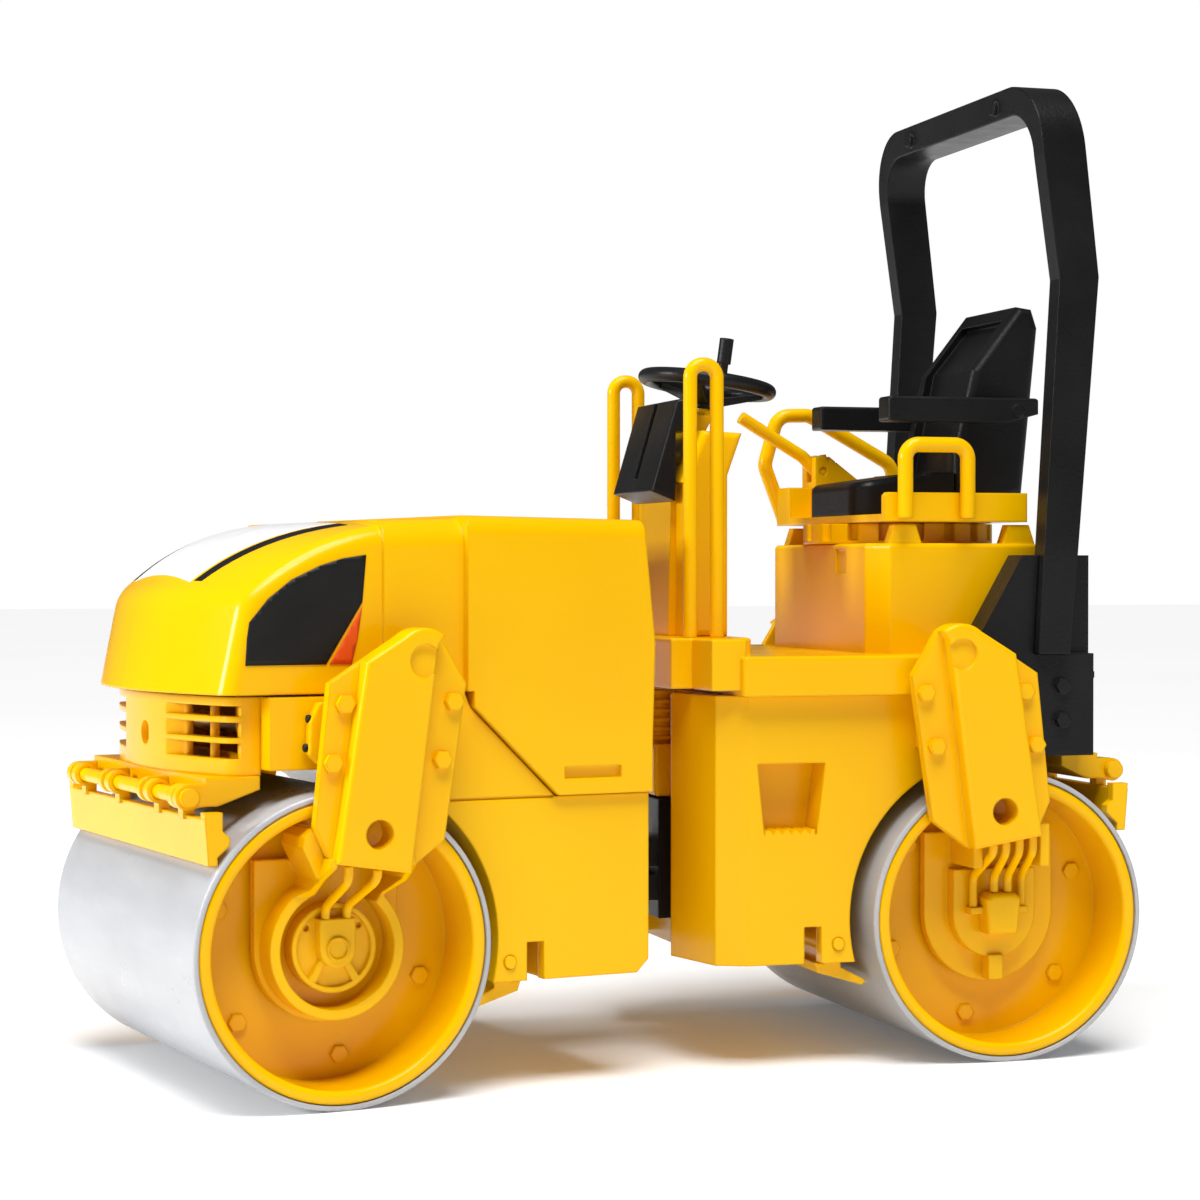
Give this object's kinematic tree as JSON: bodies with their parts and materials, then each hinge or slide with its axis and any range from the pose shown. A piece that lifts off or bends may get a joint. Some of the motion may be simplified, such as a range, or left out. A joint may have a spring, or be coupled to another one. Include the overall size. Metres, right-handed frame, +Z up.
{
  "type": "toy road roller",
  "caption": "Toy tandem road roller with articulated steering, rolling drums, tilting hood, swivelling driver seat, steering wheel, scrapers and a roll-over hoop.",
  "frame": {"origin": "centre of the bounding box at floor level, under the middle of the machine", "axes": "+X towards the front (hood end) along the rear half, +Y to the driver's left, +Z up; the front half stands turned 10.3 degrees to the left about the steering pin"},
  "size_m": [0.1886, 0.1016, 0.1766],
  "materials": {
    "yellow_plastic": "glossy moulded yellow plastic",
    "black_plastic": "satin moulded black plastic",
    "grey_plastic": "smooth light grey plastic drum skin",
    "steel": "plain steel pin"
  },
  "bodies": {
    "rear_frame": {"rear_chassis": "yellow_plastic", "deck": "yellow_plastic", "rear_arm_left": "yellow_plastic", "rear_arm_right": "yellow_plastic", "rear_arm_bolts": "yellow_plastic", "rear_bearing_cap": "yellow_plastic", "rear_drive_motor": "yellow_plastic", "rear_hoses": "yellow_plastic", "rear_scraper_carrier": "yellow_plastic", "rear_scraper_rod": "yellow_plastic", "rear_yoke": "black_plastic", "steering_hose": "yellow_plastic", "console_column": "yellow_plastic", "instrument_box": "black_plastic", "console_handrails": "yellow_plastic", "seat_base": "yellow_plastic", "seat_turntable": "yellow_plastic", "seat_pivot_pin": "steel", "rear_panel": "black_plastic", "rollover_hoop": "black_plastic"},
    "front_frame": {"front_chassis": "yellow_plastic", "front_grille": "yellow_plastic", "front_arm_left": "yellow_plastic", "front_arm_right": "yellow_plastic", "front_arm_bolts": "yellow_plastic", "front_bearing_cap": "yellow_plastic", "front_drive_motor": "yellow_plastic", "front_hoses": "yellow_plastic", "front_scraper_carrier": "yellow_plastic", "front_scraper_rod": "yellow_plastic", "front_yoke": "black_plastic", "articulation_pin": "black_plastic", "engine_block": "black_plastic", "hood_hinge_pin": "steel"},
    "hood": {"hood": "yellow_plastic"},
    "front_drum": {"front_drum_shell": "grey_plastic", "front_drum_cup_left": "yellow_plastic", "front_drum_cup_right": "yellow_plastic", "front_drum_screws": "yellow_plastic", "front_drum_axle": "steel"},
    "rear_drum": {"rear_drum_shell": "grey_plastic", "rear_drum_cup_left": "yellow_plastic", "rear_drum_cup_right": "yellow_plastic", "rear_drum_screws": "yellow_plastic", "rear_drum_axle": "steel"},
    "steering_wheel": {"steering_wheel": "black_plastic"},
    "seat": {"seat_platform": "yellow_plastic", "seat_cushion": "black_plastic", "seat_back": "black_plastic", "control_pod": "yellow_plastic", "seat_handrail_left": "yellow_plastic", "seat_handrail_right": "yellow_plastic"},
    "armrest_left": {"armrest_left": "black_plastic"},
    "armrest_right": {"armrest_right": "black_plastic"},
    "travel_lever": {"travel_lever": "yellow_plastic"},
    "front_scraper": {"front_scraper_blade": "yellow_plastic"},
    "front_inner_scraper": {"front_inner_scraper": "yellow_plastic"},
    "rear_scraper": {"rear_scraper_blade": "yellow_plastic"},
    "rear_inner_scraper": {"rear_inner_scraper": "yellow_plastic"}
  },
  "joints": [
    {"name": "articulated_steering", "type": "hinge", "parent": "rear_frame", "child": "front_frame", "pos_m": [-0.00256, -0.00576, 0.033], "axis": [0, 0, 1], "range_deg": [-34.3, 13.7]},
    {"name": "hood_tilt", "type": "hinge", "parent": "front_frame", "child": "hood", "pos_m": [0.07123, 0.00765, 0.062], "axis": [-0.1788, 0.9839, 0], "range_deg": [0, 28]},
    {"name": "front_drum_roll", "type": "hinge", "parent": "front_frame", "child": "front_drum", "pos_m": [0.06178, 0.00593, 0.026], "axis": [-0.1788, 0.9839, 0], "continuous": true},
    {"name": "rear_drum_roll", "type": "hinge", "parent": "rear_frame", "child": "rear_drum", "pos_m": [-0.06796, -0.00576, 0.026], "axis": [0, 1, 0], "continuous": true},
    {"name": "steering_wheel_turn", "type": "hinge", "parent": "rear_frame", "child": "steering_wheel", "pos_m": [-0.02406, -0.00576, 0.1229], "axis": [-0.1392, 0, 0.9903], "continuous": true},
    {"name": "seat_swivel", "type": "hinge", "parent": "rear_frame", "child": "seat", "pos_m": [-0.06256, -0.00576, 0.097], "axis": [0, 0, 1], "range_deg": [-20, 20]},
    {"name": "armrest_left_fold", "type": "hinge", "parent": "seat", "child": "armrest_left", "pos_m": [-0.07856, 0.01154, 0.1178], "axis": [0, -1, 0], "range_deg": [0, 85]},
    {"name": "armrest_right_fold", "type": "hinge", "parent": "seat", "child": "armrest_right", "pos_m": [-0.07856, -0.02306, 0.1178], "axis": [0, -1, 0], "range_deg": [0, 85]},
    {"name": "travel_lever_tilt", "type": "hinge", "parent": "seat", "child": "travel_lever", "pos_m": [-0.05476, -0.02846, 0.1076], "axis": [0, 1, 0], "range_deg": [-10, 10]},
    {"name": "front_scraper_swing", "type": "hinge", "parent": "front_frame", "child": "front_scraper", "pos_m": [0.08559, 0.01026, 0.0514], "axis": [0.1788, -0.9839, 0], "range_deg": [0, 60]},
    {"name": "rear_scraper_swing", "type": "hinge", "parent": "rear_frame", "child": "rear_scraper", "pos_m": [-0.09216, -0.00576, 0.0514], "axis": [0, 1, 0], "range_deg": [0, 60]},
    {"name": "front_inner_scraper_swing", "type": "hinge", "parent": "front_frame", "child": "front_inner_scraper", "pos_m": [0.03109, 0.00036, 0.0218], "axis": [-0.1788, 0.9839, 0], "range_deg": [0, 35]},
    {"name": "rear_inner_scraper_swing", "type": "hinge", "parent": "rear_frame", "child": "rear_inner_scraper", "pos_m": [-0.03676, -0.00576, 0.0218], "axis": [0, -1, 0], "range_deg": [0, 35]}
  ]
}
